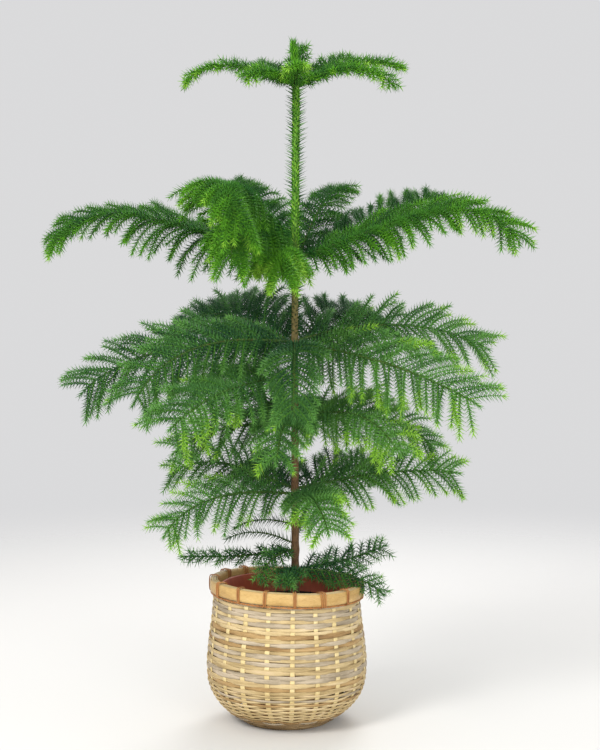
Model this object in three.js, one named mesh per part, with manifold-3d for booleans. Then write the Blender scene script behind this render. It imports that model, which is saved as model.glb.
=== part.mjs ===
// A young tiered conifer in a plastic nursery pot, set down in a woven bamboo basket.
// Millimetres. +X is the viewer's right, +Y runs away from the viewer, +Z is up.
// The origin is the centre of the basket's flat underside.
import * as THREE from "three";
import { mergeVertices } from "three/addons/utils/BufferGeometryUtils.js";
import Module from "manifold-3d";

const wasm = await Module();
wasm.setup();

// Clearance between neighbouring solids, and the little more that sprays keep
const GAP = 0.3;
const SPRAY_GAP = 0.4;
const NEAR = 1;

// Finest detail kept: vertices closer than this are one, and edges shorter than this are dropped
const WELD = 1e-4;
const TRIM = 0.01;
const HALVINGS = 30;

// Basket: radii of the belly from the foot up, and how far its mouth dips to the right
const BASKET_HEIGHT = 200;
const BASKET_PROFILE = [[60, 0], [90, 20.5], [110, 46], [116.5, 78], [114, 118], [109, 156], [106, 200]];
const BASKET_STEPS = 10;
const BASKET_WALL = 4.5;
const BASKET_FLOOR = 6;
const FLOOR_CURVE = 8;
const BASKET_SEGMENTS = 30;
const MOUTH_DIP = 0.04;

// Rim: hoops inside and outside the wall, bridged over its edge and lashed with cane
const RIM_TOP = 204;
const RIM_HEIGHT = 22;
const RIM_THICK = 3.2;
const RIM_EASE = 1.5;
const INNER_HOOP_SHORT = 4;
const RIM_LASHINGS = 15;
const LASHING_WIDTH = 6;
const LASHING_PROUD = 1.3;
const LASHING_SHORT = 2;
const LASHING_DRIFT = 0.3;

// Nursery pot and the soil in it
const POT_FLOOR_Z = BASKET_FLOOR + GAP;
const POT_HEIGHT = 192;
const POT_TOP_RADIUS = 93;
const POT_FOOT_RADIUS = 61;
const POT_WALL = 2;
const POT_LIP_HEIGHT = 12;
const POT_LIP_PROUD = 2;
const POT_NECK = 1;
const SOIL_TOP = 170;
const SOIL_CLEAR = 1.4 * GAP;
const POT_SEGMENTS = 28;

// Trunk
const TRUNK_FOOT = SOIL_TOP + GAP;
const TRUNK_TIP = 972;
const TRUNK_FOOT_RADIUS = 5.6;
const TRUNK_TOP_RADIUS = 4.2;
const FLARE = 4;
const FLARE_HEIGHT = 11;
const TRUNK_SIDES = 8;
const TRUNK_STEPS = 24;
const TRUNK_BENDS = [
  [11.5, 0, 0], [12, 1.5, 260], [11.5, -1, 520], [12.5, 1, 760], [13, 0, 905], [8, 0, 980],
];
const BUD_HEIGHT = 46;
const BUD_POINT = 0.25;
const FLARE_ROWS = 1.2;

// Boughs in tiers up the trunk. A tier: its height, the radius of its stems, how its sprays grow with a
// bough's length, their share of that on the outer half, how far they sag, the angle at which they open at
// the trunk, how far the fronds roll to the light, and the bare share of each limb.
// A bough: side, azimuth from +X, drop below the tier, length along the limb, angle above level at the
// trunk, angle at the tip, how late it bends, and how far it swings round in plan.
const TIERS = [
  { name: "crown", height: 911, stem: 1.7, spread: 0.02, outer: 0.85, sag: 0.6, opening: 60, turn: 24,
    limb: 0, boughs: [
      ["left", 182, 0, 168, 22, -66, 2.6, 0], ["front_left", 226, -3, 100, 14, -50, 2.4, 0],
      ["front", 272, 3, 118, 16, -22, 2.4, 0], ["front_right", 333, -3, 160, 14, -52, 2.2, 0],
      ["right", 4, 3, 160, 27, -26, 2.2, 0], ["back_right", 46, -3, 122, 30, 4, 2.2, -8],
      ["back", 80, 0, 78, 60, 36, 2.4, 0], ["back_left", 121, 3, 126, 30, 2, 2.2, 8],
    ] },
  { name: "upper", height: 660, stem: 2.3, spread: 0.185, outer: 0.6, sag: 1.25, opening: 60, turn: 20,
    limb: 0.2, boughs: [
      ["left", 178, 4, 376, 21, -60, 3.6, 0], ["right", 340, -4, 348, 20, -70, 4, 0],
      ["back_right", 26, -4, 290, 26, -8, 4, 12], ["back", 72, 4, 225, 40, 5, 4, -14],
      ["back_left", 122, -4, 270, 36, -10, 4, -16],
    ] },
  { name: "dome", height: 660, stem: 2.3, spread: 0.27, outer: 0.55, sag: 2.2, opening: 44, turn: 10,
    limb: 0, boughs: [
      ["left", 222, -4, 328, 46, -64, 1.7, 85], ["middle", 237, 0, 265, 32, -58, 1.6, 36],
      ["right", 258, 4, 205, 18, -42, 1.4, 20],
    ] },
  { name: "broad", height: 544, stem: 2.3, spread: 0.2, outer: 0.78, sag: 0.9, opening: 60, turn: 42,
    limb: 0.2, boughs: [
      ["left", 187, 4, 318, 4, -46, 2, 0], ["left_front", 214, -2, 285, 5, -64, 2, 0],
      ["front", 270, 0, 212, 0, -66, 1.3, 0], ["front_right", 321, 2, 318, -4, -26, 1.3, 0],
      ["right", 5, -4, 284, 15, -30, 1.5, 0], ["back_right", 62, 4, 262, 26, -34, 2, -14],
      ["back", 117, -4, 266, 22, -16, 2, 12], ["back_left", 150, 0, 236, 26, -50, 2, 0],
    ] },
  { name: "under", height: 498, stem: 2.1, spread: 0.22, outer: 0.76, sag: 0.9, opening: 60, turn: 42,
    limb: 0, boughs: [
      ["front_left", 235, 0, 288, -2, -30, 2, 0],
    ] },
  { name: "middle", height: 433, stem: 2.1, spread: 0.22, outer: 0.72, sag: 0.9, opening: 60, turn: 42,
    limb: 0, boughs: [
      ["right", 12, 4, 228, 14, -54, 1.6, 0], ["back", 92, 4, 215, 15, -34, 2, 0],
      ["back_left", 146, -4, 185, 26, -24, 2, 0], ["left", 193, 4, 182, 2, -44, 2, 0],
      ["front", 262, -4, 194, 6, -56, 2, 0], ["front_right", 312, -4, 225, 12, -56, 2, 0],
    ] },
  { name: "lower", height: 332, stem: 2, spread: 0.2, outer: 0.72, sag: 1, opening: 60, turn: 42,
    limb: 0, boughs: [
      ["left", 163, -4, 198, 22, -38, 2.2, 0], ["front_left", 204, 4, 212, 6, -60, 2.2, 0],
      ["front", 283, 4, 205, 6, -38, 2, 0], ["right", 357, -4, 232, 12, -8, 2.2, 0],
      ["back_right", 50, 4, 205, 18, -26, 2.2, 0], ["back", 112, 0, 205, 18, -28, 2.2, 0],
    ] },
  { name: "skirt", height: 246, stem: 1.7, spread: 0, outer: 0.8, sag: 0.5, opening: 60, turn: 42,
    limb: 0, boughs: [
      ["left", 177, 0, 160, -8, 2, 1.6, 0], ["front_left", 238, 0, 98, 4, -64, 1.6, 0],
    ] },
  { name: "foot", height: 219, stem: 1.7, spread: 0.1, outer: 0.7, sag: 0.6, opening: 60, turn: 42,
    limb: 0, boughs: [
      ["front", 262, 0, 100, 8, -24, 1.6, 0], ["right", 346, 0, 132, 2, -40, 1.6, 0],
      ["back_right", 27, 0, 148, 2, 16, 1.6, 0],
    ] },
];
const SWING_BEND = 1.5;
const PATH_STEPS = 16;
const LIMB_SIDES = 5;
const LIMB_STEPS = 2;
const LIMB_TAPER = 0.8;
const TIP_ROWS = 1.3;
const STEM_SIDES = 4;
const STEM_STEPS = 7;
const STEM_TIP_RADIUS = 0.9;
const STEM_END = 0.94;

// Seating a bough: its first distance off the bark, the foot that is measured, and the rounds of measuring
const SEAT_START = 2;
const SEAT_FOOT = 0.1;
const SEAT_REACH = 12;
const SEAT_ROUNDS = 4;

// Sprays: the flat toothed blades of needles along each bough. The fronds roll their upper face
// towards the light, which comes from the azimuth LIGHT.
const SPRAY_PITCH = 44;
const SPRAY_ROOT = 18;
const SPRAY_THICK = 2.6;
const SPRAY_RIDGE = 0.38;
const LONG_SPRAY = 44;
const LONG_TEETH = [[0.44, 1], [0.5, 0.32], [0.74, 0.75], [0.78, 0.2]];
const SHORT_TEETH = [[0.66, 1], [0.7, 0.25]];
const NEEDLE_REACH = 11.5;
const NEEDLE_SHARE = 0.26;
const TIP_NEEDLES = 8;
const TIP_LAP = 6;
const SPRAY_MARGIN = 0.04;
const TIP_MARGIN = 0.06;
const FEWEST_PAIRS = 3;
const PAIR_START = 0.28;
const PAIR_STAGGER = 0.22;
const PAIR_JITTER = 0.2;
const LENGTH_JITTER = 0.16;
const SPRAY_CLOSING = 11;
const SPRAY_JITTER = 5;
const SPRAY_LIFT = 0.07;
const SPRAY_FALL = 0.43;
const HEAVY_SPRAY = 90;
const LIGHT_SPRAY_FALL = 0.35;
const LIGHT = 265;
const STANDING = 0.65;
const HANGING = 0.5;
const ROOM = 80;
const SECTOR_SLACK = 45;

// Lengths of the sprays along a bough: their share of the longest at the trunk, where they come to
// full length, where they fade to the tier's outer share, and how much of the bough tapers to its tip
const SHORT_FOOT = 0.62;
const FULL_FROM = 0.3;
const FADE = [0.38, 0.72];
const TIP_TAPER = 0.14;
const TAPER_END = 1.05;
const SHORTENINGS = [1, 0.8, 0.62, 0.46];
const SEED = 20261;
const SEED_STEP = 97;

// Finishes: colour and roughness
const BASKET_FINISH = { color: 0xc9b07c, roughness: 0.7 };
const RIM_FINISH = { color: 0xc39a58, roughness: 0.55 };
const POT_FINISH = { color: 0x6e2416, roughness: 0.5 };
const SOIL_FINISH = { color: 0x2a1b14, roughness: 0.95 };
const BARK_FINISH = { color: 0x6f4c2c, roughness: 0.85 };
const BOUGH_FINISH = { color: 0x5d6a2a, roughness: 0.8 };
const LEAF_COLOURS = { crown: 0x5c9a2c, upper: 0x3f8230, dome: 0x4c9030, broad: 0x438a35 };
const LOW_LEAF_COLOUR = 0x34752d;
const LEAF_ROUGHNESS = 0.6;

const UP = new THREE.Vector3(0, 0, 1);
const radians = THREE.MathUtils.degToRad;

// A repeatable stream of numbers from 0 to 1
function stream(seed) {
  let state = seed >>> 0;
  return () => {
    state = (Math.imul(state, 1664525) + 1013904223) >>> 0;
    return state / 4294967296;
  };
}

// Welds a geometry and drops the triangles that weld to nothing
function weld(geometry) {
  const bare = geometry.clone();
  bare.deleteAttribute("normal");
  bare.deleteAttribute("uv");
  const welded = mergeVertices(bare, WELD);
  const kept = [];
  const index = welded.index.array;
  for (let i = 0; i < index.length; i += 3) {
    const [a, b, c] = [index[i], index[i + 1], index[i + 2]];
    if (a !== b && b !== c && c !== a) {
      kept.push(a, b, c);
    }
  }
  welded.setIndex(kept);
  return welded;
}

function toSolid(geometry) {
  const welded = weld(geometry);
  return new wasm.Manifold(new wasm.Mesh({
    numProp: 3,
    vertProperties: new Float32Array(welded.attributes.position.array),
    triVerts: new Uint32Array(welded.index.array),
  }));
}

function toGeometry(solid) {
  const mesh = solid.getMesh();
  const geometry = new THREE.BufferGeometry();
  geometry.setAttribute("position", new THREE.BufferAttribute(new Float32Array(mesh.vertProperties), 3));
  geometry.setIndex(new THREE.BufferAttribute(new Uint32Array(mesh.triVerts), 1));
  geometry.computeVertexNormals();
  return geometry;
}

// The largest single body of a solid, without loose scraps or sealed hollows
function mainBody(solid) {
  const bodies = solid.decompose();
  return bodies.reduce((best, body) => (body.volume() > best.volume() ? body : best));
}

// Turns a profile of [radius, height] about the Z axis
function turned(profile, segments) {
  const points = profile.map(([radius, height]) => new THREE.Vector2(radius, height));
  return weld(new THREE.LatheGeometry(points, segments).rotateX(Math.PI / 2));
}

// Moves every vertex of a geometry with a function of its position
function shaped(geometry, move) {
  const position = geometry.attributes.position;
  const point = new THREE.Vector3();
  for (let i = 0; i < position.count; i += 1) {
    point.fromBufferAttribute(position, i);
    move(point);
    position.setXYZ(i, point.x, point.y, point.z);
  }
  return geometry;
}

// The hand-made basket's mouth dips to the right while its foot stays level
function dipped(geometry) {
  return shaped(geometry, (point) => {
    point.z -= MOUTH_DIP * point.x * Math.max(0, point.z / BASKET_HEIGHT) ** 2;
  });
}

// The point at which a curve that climbs steadily along one coordinate reaches a height
function pointAtHeight(curve, coordinate, height) {
  let [low, high] = [0, 1];
  for (let i = 0; i < HALVINGS; i += 1) {
    const middle = (low + high) / 2;
    if (curve.getPoint(middle)[coordinate] < height) {
      low = middle;
    } else {
      high = middle;
    }
  }
  return curve.getPoint(low);
}

const basketCurve = new THREE.SplineCurve(BASKET_PROFILE.map(([r, z]) => new THREE.Vector2(r, z)));

function basketRadius(height) {
  return pointAtHeight(basketCurve, "y", height).x;
}

function basketBody() {
  const outer = [];
  const inner = [];
  for (let i = 0; i <= BASKET_STEPS; i += 1) {
    const point = basketCurve.getPoint(i / BASKET_STEPS);
    outer.push([point.x, i === 0 ? 0 : point.y]);
    if (point.y > BASKET_FLOOR + FLOOR_CURVE) {
      inner.unshift([point.x - BASKET_WALL, point.y]);
    }
  }
  const floorRadius = basketRadius(BASKET_FLOOR) - BASKET_WALL;
  const profile = [[0, 0], ...outer, ...inner, [floorRadius, BASKET_FLOOR], [0, BASKET_FLOOR]];
  return dipped(turned(profile, BASKET_SEGMENTS));
}

function basketRim() {
  const bottom = RIM_TOP - RIM_HEIGHT;
  const bridge = BASKET_HEIGHT + GAP;
  const wide = basketRadius(bottom) + GAP;
  const narrow = basketRadius(BASKET_HEIGHT) - BASKET_WALL - GAP;
  const profile = [
    [wide, bottom], [wide + RIM_THICK, bottom], [wide + RIM_THICK, RIM_TOP - RIM_EASE],
    [wide + RIM_THICK - RIM_EASE, RIM_TOP], [narrow - RIM_THICK + RIM_EASE, RIM_TOP],
    [narrow - RIM_THICK, RIM_TOP - RIM_EASE], [narrow - RIM_THICK, bottom + INNER_HOOP_SHORT],
    [narrow, bottom + INNER_HOOP_SHORT], [narrow, bridge], [wide, bridge], [wide, bottom],
  ];
  let solid = toSolid(turned(profile, BASKET_SEGMENTS));
  const random = stream(SEED);
  const depth = LASHING_PROUD + RIM_THICK / 2;
  for (let i = 0; i < RIM_LASHINGS; i += 1) {
    const turn = (2 * Math.PI * (i + LASHING_DRIFT * random())) / RIM_LASHINGS;
    const lashing = new THREE.BoxGeometry(depth, LASHING_WIDTH, RIM_HEIGHT - LASHING_SHORT);
    lashing.translate(wide + RIM_THICK + LASHING_PROUD - depth / 2, 0, RIM_TOP - RIM_HEIGHT / 2);
    lashing.rotateZ(turn);
    solid = solid.add(toSolid(lashing));
  }
  return solid;
}

function nurseryPot() {
  const top = POT_FLOOR_Z + POT_HEIGHT;
  const lip = top - POT_LIP_HEIGHT;
  const profile = [
    [0, POT_FLOOR_Z], [POT_FOOT_RADIUS, POT_FLOOR_Z], [POT_TOP_RADIUS - POT_NECK, lip],
    [POT_TOP_RADIUS + POT_LIP_PROUD, lip], [POT_TOP_RADIUS + POT_LIP_PROUD, top],
    [POT_TOP_RADIUS - POT_WALL + POT_NECK, top], [POT_TOP_RADIUS - POT_NECK - POT_WALL, lip],
    [POT_FOOT_RADIUS - POT_WALL, POT_FLOOR_Z + POT_WALL], [0, POT_FLOOR_Z + POT_WALL],
  ];
  return turned(profile, POT_SEGMENTS);
}

function pottingSoil() {
  const floor = POT_FLOOR_Z + POT_WALL + GAP;
  const lip = POT_FLOOR_Z + POT_HEIGHT - POT_LIP_HEIGHT;
  const slope = (POT_TOP_RADIUS - POT_NECK - POT_FOOT_RADIUS) / (lip - POT_FLOOR_Z);
  const foot = POT_FOOT_RADIUS - POT_WALL - SOIL_CLEAR;
  const inside = (height) => foot + slope * (height - POT_FLOOR_Z - POT_WALL);
  const profile = [[0, floor], [inside(floor), floor], [inside(SOIL_TOP), SOIL_TOP], [0, SOIL_TOP]];
  return turned(profile, POT_SEGMENTS);
}

const trunkCurve = new THREE.CatmullRomCurve3(TRUNK_BENDS.map(([x, y, z]) => new THREE.Vector3(x, y, z)));

function trunkAxis(height) {
  const point = pointAtHeight(trunkCurve, "z", height);
  return new THREE.Vector3(point.x, point.y, height);
}

function trunkRadius(height) {
  const share = (height - TRUNK_FOOT) / (TRUNK_TIP - TRUNK_FOOT);
  const taper = THREE.MathUtils.lerp(TRUNK_FOOT_RADIUS, TRUNK_TOP_RADIUS, share);
  const bud = Math.min(1, BUD_POINT + (1 - BUD_POINT) * ((TRUNK_TIP - height) / BUD_HEIGHT));
  return taper * bud + FLARE * Math.exp(-(height - TRUNK_FOOT) / FLARE_HEIGHT);
}

function trunk() {
  const length = TRUNK_TIP - TRUNK_FOOT;
  const geometry = new THREE.CylinderGeometry(1, 1, length, TRUNK_SIDES, TRUNK_STEPS).rotateX(Math.PI / 2);
  return shaped(geometry, (point) => {
    // rows stand closer together in the root flare
    const share = Math.min(1, Math.max(0, point.z / length + 0.5));
    const height = TRUNK_FOOT + length * share ** FLARE_ROWS;
    const axis = trunkAxis(height);
    const radius = trunkRadius(height);
    point.set(axis.x + point.x * radius, axis.y + point.y * radius, height);
  });
}

function outward(azimuth) {
  return new THREE.Vector3(Math.cos(radians(azimuth)), Math.sin(radians(azimuth)), 0);
}

// The path of a bough from a distance off the trunk's axis, bending over and swinging round as it goes
function boughPath(bough, start) {
  const point = trunkAxis(bough.height).addScaledVector(outward(bough.azimuth), start);
  const points = [point.clone()];
  for (let i = 0; i < PATH_STEPS; i += 1) {
    const share = (i + 0.5) / PATH_STEPS;
    const angle = radians(bough.rise + (bough.droop - bough.rise) * share ** bough.bend);
    const out = outward(bough.azimuth + bough.swing * share ** SWING_BEND);
    point.addScaledVector(out, (Math.cos(angle) * bough.length) / PATH_STEPS);
    point.addScaledVector(UP, (Math.sin(angle) * bough.length) / PATH_STEPS);
    points.push(point.clone());
  }
  return new THREE.CatmullRomCurve3(points);
}

function frameAt(path, share) {
  const along = path.getTangent(share);
  const side = UP.clone().cross(along).normalize();
  return { at: path.getPoint(share), along, side, over: along.clone().cross(side) };
}

// A tapering limb along part of a path
function limb(path, from, to, thick, thin, sides, steps) {
  const geometry = new THREE.CylinderGeometry(1, 1, 1, sides, steps);
  return shaped(geometry, (point) => {
    // rows stand closer together towards the tip, where the bend is sharpest
    const share = 1 - (1 - Math.min(1, Math.max(0, point.y + 0.5))) ** TIP_ROWS;
    const { at, side, over } = frameAt(path, from + (to - from) * share);
    const radius = thick + (thin - thick) * share;
    const [across, above] = [point.x * radius, point.z * radius];
    point.copy(at).addScaledVector(side, -across).addScaledVector(over, above);
  });
}

// The path of a bough whose foot stands just clear of the trunk
function seatedPath(tier, bough, trunkSolid) {
  const sides = tier.limb > 0 ? LIMB_SIDES : STEM_SIDES;
  let start = trunkRadius(bough.height) + SEAT_START;
  let path = boughPath(bough, start);
  for (let i = 0; i < SEAT_ROUNDS; i += 1) {
    const foot = limb(path, 0, SEAT_FOOT, tier.stem, tier.stem, sides, 1);
    start -= trunkSolid.minGap(toSolid(foot), SEAT_REACH) - GAP;
    path = boughPath(bough, start);
  }
  return path;
}

// One spray of needles: a thin blade, thickest near its root, with forward teeth along both edges
function spray(length) {
  const reach = Math.min(NEEDLE_REACH, length * NEEDLE_SHARE);
  const edge = length > LONG_SPRAY ? LONG_TEETH : SHORT_TEETH;
  const lower = edge.map(([x, y]) => [x * length, -y * reach]);
  const upper = [...edge].reverse().map(([x, y]) => [x * length, y * reach]);
  const outline = [[0, 0], ...lower, [length, 0], ...upper];
  const ridge = SPRAY_RIDGE * length;
  const geometry = new THREE.SphereGeometry(1, outline.length, 2);
  const row = outline.length + 1;
  for (let i = 0; i < row; i += 1) {
    const [x, y] = outline[i % outline.length];
    geometry.attributes.position.setXYZ(i, ridge, 0, SPRAY_THICK / 2);
    geometry.attributes.position.setXYZ(row + i, x, y, 0);
    geometry.attributes.position.setXYZ(2 * row + i, ridge, 0, -SPRAY_THICK / 2);
  }
  return geometry;
}

// A spray laid from a point along a direction, its flat side facing as nearly as it can to a normal
function placedSpray(length, at, along, facing) {
  const normal = facing.clone().addScaledVector(along, -facing.dot(along)).normalize();
  const across = normal.clone().cross(along);
  const matrix = new THREE.Matrix4().makeBasis(along, across, normal).setPosition(at);
  return spray(length).applyMatrix4(matrix);
}

// How long the sprays are, as a share of the longest, from the trunk to the tip of a bough
function sprayShare(share, outer) {
  const foot = THREE.MathUtils.lerp(SHORT_FOOT, 1, Math.min(1, share / FULL_FROM));
  const fade = 1 - (1 - outer) * THREE.MathUtils.smoothstep(share, ...FADE);
  return foot * fade * Math.min(1, (TAPER_END - share) / TIP_TAPER);
}

function farFrom(solid, others) {
  const box = solid.boundingBox();
  return others.every((other) => {
    const [low, high] = [other.box.min, other.box.max];
    const apart = [0, 1, 2].some((k) => box.min[k] > high[k] + NEAR || box.max[k] < low[k] - NEAR);
    return apart || solid.minGap(other.solid, NEAR) > SPRAY_GAP;
  });
}

// Whether a point lies in the sector between a bough and its neighbours in the tier, or little beyond
function inSector(point, bough) {
  const axis = trunkAxis(bough.height);
  const azimuth = THREE.MathUtils.radToDeg(Math.atan2(point.y - axis.y, point.x - axis.x));
  const turn = THREE.MathUtils.euclideanModulo(azimuth - bough.azimuth + 180, 360) - 180;
  return turn < bough.roomLeft + SECTOR_SLACK && turn > -bough.roomRight - SECTOR_SLACK;
}

// The stem of a mass of foliage, out to the tip of its bough
function foliageStem(tier, bough) {
  const { path, length } = bough;
  const from = tier.limb > 0 ? tier.limb + GAP / length : 0;
  const thick = tier.limb > 0 ? tier.stem * LIMB_TAPER : tier.stem;
  const geometry = limb(path, from, STEM_END, thick, STEM_TIP_RADIUS, STEM_SIDES, STEM_STEPS);
  return { from, solid: toSolid(geometry) };
}

// A mass of foliage: its stem with sprays down both sides, which stand where the frond is raised
// towards the light and hang where it is lowered
function foliage(tier, bough, stem, others, random) {
  const { path, length } = bough;
  const { from } = stem;
  const lean = Math.tanh(2 * Math.sin(radians(bough.azimuth - LIGHT)));
  const roll = radians(tier.turn) * lean;
  const end = frameAt(path, STEM_END - TIP_LAP / length);
  const tipSpray = placedSpray(length * (1 - STEM_END) + TIP_LAP, end.at, end.along, end.over);
  let solid = stem.solid.add(toSolid(tipSpray));
  const pairs = Math.max(FEWEST_PAIRS, Math.round((length * (STEM_END - from)) / SPRAY_PITCH));
  const run = STEM_END - from - SPRAY_MARGIN - TIP_MARGIN;
  for (let i = 0; i < pairs; i += 1) {
    for (const hand of [1, -1]) {
      const place = (i + PAIR_START + PAIR_STAGGER * hand + PAIR_JITTER * random()) / (pairs - 0.5);
      const share = from + SPRAY_MARGIN + run * place;
      const { at, along, side, over } = frameAt(path, Math.min(STEM_END - SPRAY_MARGIN, share));
      const across = side.clone().multiplyScalar(Math.cos(roll)).addScaledVector(over, Math.sin(roll));
      const above = over.clone().multiplyScalar(Math.cos(roll)).addScaledVector(side, -Math.sin(roll));
      const spread = radians(tier.opening - SPRAY_CLOSING * share + SPRAY_JITTER * (random() - 0.5));
      const size = (SPRAY_ROOT + tier.spread * length) * sprayShare(share, tier.outer);
      const longest = size * (1 + LENGTH_JITTER * (random() - 0.5)) + TIP_NEEDLES;
      const heavy = THREE.MathUtils.lerp(LIGHT_SPRAY_FALL, 1, Math.min(1, longest / HEAVY_SPRAY));
      const raised = hand * lean * Math.abs(Math.cos(radians(bough.azimuth)));
      const fall = SPRAY_FALL * tier.sag * heavy * (1 - (raised > 0 ? STANDING : HANGING) * raised);
      const direction = along.clone().multiplyScalar(Math.cos(spread))
        .addScaledVector(across, hand * Math.sin(spread)).addScaledVector(UP, SPRAY_LIFT - fall);
      direction.normalize();
      for (const shortening of SHORTENINGS) {
        const reach = longest * shortening;
        const tip = at.clone().addScaledVector(direction, reach);
        const piece = toSolid(placedSpray(reach, at, direction, above));
        if (inSector(tip, bough) && farFrom(piece, others)) {
          solid = solid.add(piece);
          break;
        }
      }
    }
  }
  return mainBody(solid.simplify(TRIM));
}

const part = new THREE.Group();
part.name = "potted_tiered_conifer";

function put(name, geometry, finish) {
  const material = new THREE.MeshStandardMaterial({ ...finish, metalness: 0 });
  const mesh = new THREE.Mesh(geometry, material);
  mesh.name = name;
  part.add(mesh);
}

const obstacles = [];

function boxed(solid) {
  return { solid, box: solid.boundingBox() };
}

function putObstacle(name, geometry, finish) {
  put(name, geometry, finish);
  obstacles.push(boxed(toSolid(geometry)));
}

putObstacle("basket_body", basketBody(), BASKET_FINISH);
putObstacle("basket_rim", dipped(toGeometry(basketRim())), RIM_FINISH);
putObstacle("nursery_pot", nurseryPot(), POT_FINISH);
putObstacle("potting_soil", pottingSoil(), SOIL_FINISH);
putObstacle("trunk", trunk(), BARK_FINISH);
const trunkSolid = obstacles[obstacles.length - 1].solid;

// Half the turn from a bough to its nearest neighbour in one direction round the tier
function room(azimuth, others, direction) {
  const turns = others.map((other) => THREE.MathUtils.euclideanModulo(direction * (other - azimuth), 360));
  return Math.min(ROOM, ...turns.filter((turn) => turn > 0).map((turn) => turn / 2));
}

const masses = [];
for (const tier of TIERS) {
  const azimuths = tier.boughs.map((bough) => bough[1]);
  tier.boughs.forEach(([side, azimuth, drop, length, rise, droop, bend, swing]) => {
    const bough = {
      name: `${tier.name}_${side}`, azimuth, length, rise, droop, bend, swing, height: tier.height - drop,
      roomLeft: room(azimuth, azimuths, 1), roomRight: room(azimuth, azimuths, -1),
    };
    bough.path = seatedPath(tier, bough, trunkSolid);
    if (tier.limb > 0) {
      const thin = tier.stem * LIMB_TAPER;
      const limbGeometry = limb(bough.path, 0, tier.limb, tier.stem, thin, LIMB_SIDES, LIMB_STEPS);
      putObstacle(`${bough.name}_bough`, limbGeometry, BOUGH_FINISH);
    }
    masses.push({ tier, bough, stem: foliageStem(tier, bough) });
  });
}

masses.forEach(({ tier, bough, stem }, i) => {
  const later = masses.slice(i + 1).map((mass) => boxed(mass.stem.solid));
  const random = stream(SEED + SEED_STEP * (i + 1));
  const solid = foliage(tier, bough, stem, [...obstacles, ...later], random);
  obstacles.push(boxed(solid));
  const color = LEAF_COLOURS[tier.name] ?? LOW_LEAF_COLOUR;
  put(`${bough.name}_foliage`, toGeometry(solid), { color, roughness: LEAF_ROUGHNESS });
});

export default part;
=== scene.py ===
"""A young tiered conifer in a nursery pot, set down in a woven bamboo basket."""
import math
from collections import namedtuple

import bpy
import numpy as np
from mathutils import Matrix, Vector


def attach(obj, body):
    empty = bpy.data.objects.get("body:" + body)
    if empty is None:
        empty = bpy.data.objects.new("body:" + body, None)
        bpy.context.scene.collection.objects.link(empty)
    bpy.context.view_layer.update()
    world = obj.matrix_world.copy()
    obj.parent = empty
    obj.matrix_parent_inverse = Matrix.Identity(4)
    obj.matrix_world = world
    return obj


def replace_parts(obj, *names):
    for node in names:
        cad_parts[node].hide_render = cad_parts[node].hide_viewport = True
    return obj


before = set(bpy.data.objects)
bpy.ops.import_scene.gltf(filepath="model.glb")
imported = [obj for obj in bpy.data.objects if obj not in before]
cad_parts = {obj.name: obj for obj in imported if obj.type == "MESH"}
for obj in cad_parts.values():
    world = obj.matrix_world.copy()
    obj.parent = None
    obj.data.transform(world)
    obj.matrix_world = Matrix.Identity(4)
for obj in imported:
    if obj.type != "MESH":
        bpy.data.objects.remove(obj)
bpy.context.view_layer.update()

MM = 0.001
TURN = 2 * math.pi
TINY = 1e-6
UP = np.array([0.0, 0.0, 1.0])

# Sizes in millimetres, as in the part's source
GAP = 0.3
BASKET_HEIGHT = 200.0
BASKET_PROFILE = [(60, 0), (90, 20.5), (110, 46), (116.5, 78), (114, 118), (109, 156), (106, 200)]
MOUTH_DIP = 0.04
RIM_TOP, RIM_HEIGHT, RIM_THICK = 204.0, 22.0, 3.2
RIM_LASHINGS = 15
POT_FLOOR_Z, POT_HEIGHT = 6.3, 192.0
POT_TOP_RADIUS, POT_FOOT_RADIUS = 93.0, 61.0
POT_WALL, POT_LIP_HEIGHT, POT_LIP_PROUD, POT_NECK = 2.0, 12.0, 2.0, 1.0
SOIL_TOP = 170.0
TRUNK_FOOT, TRUNK_TIP = 170.3, 972.0
TRUNK_FOOT_RADIUS, TRUNK_TOP_RADIUS = 5.6, 4.2
FLARE, FLARE_HEIGHT, BUD_HEIGHT, BUD_POINT = 4.0, 11.0, 46.0, 0.25
TRUNK_BENDS = [(11.5, 0, 0), (12, 1.5, 260), (11.5, -1, 520), (12.5, 1, 760), (13, 0, 905), (8, 0, 980)]

# Boughs in tiers up the trunk. A tier: its height, the radius of its stems, how its sprays grow with a
# bough's length, their share of that on the outer half, how far they sag, how far apart they stand, the
# angle at which they open at the trunk, and how far the fronds roll to the light.
Tier = namedtuple("Tier", "name height stem spread outer sag pitch opening turn")
TIERS = [
    Tier("crown", 911, 1.7, 0.02, 0.85, 0.6, 9.0, 60, 24),
    Tier("upper", 660, 2.3, 0.185, 0.6, 1.25, 8.0, 60, 20),
    Tier("dome", 660, 2.3, 0.27, 0.55, 2.2, 6.4, 44, 10),
    Tier("broad", 544, 2.3, 0.20, 0.78, 0.9, 9.6, 60, 42),
    Tier("under", 498, 2.1, 0.22, 0.76, 0.9, 9.6, 60, 42),
    Tier("middle", 433, 2.1, 0.22, 0.72, 0.9, 10.2, 60, 42),
    Tier("lower", 332, 2.0, 0.20, 0.72, 1.0, 10.2, 60, 42),
    Tier("skirt", 246, 1.7, 0.0, 0.8, 0.5, 11.0, 60, 42),
    Tier("foot", 219, 1.7, 0.10, 0.7, 0.6, 11.0, 60, 42),
]
YOUNG_TIERS = ("crown", "upper", "dome")
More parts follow.
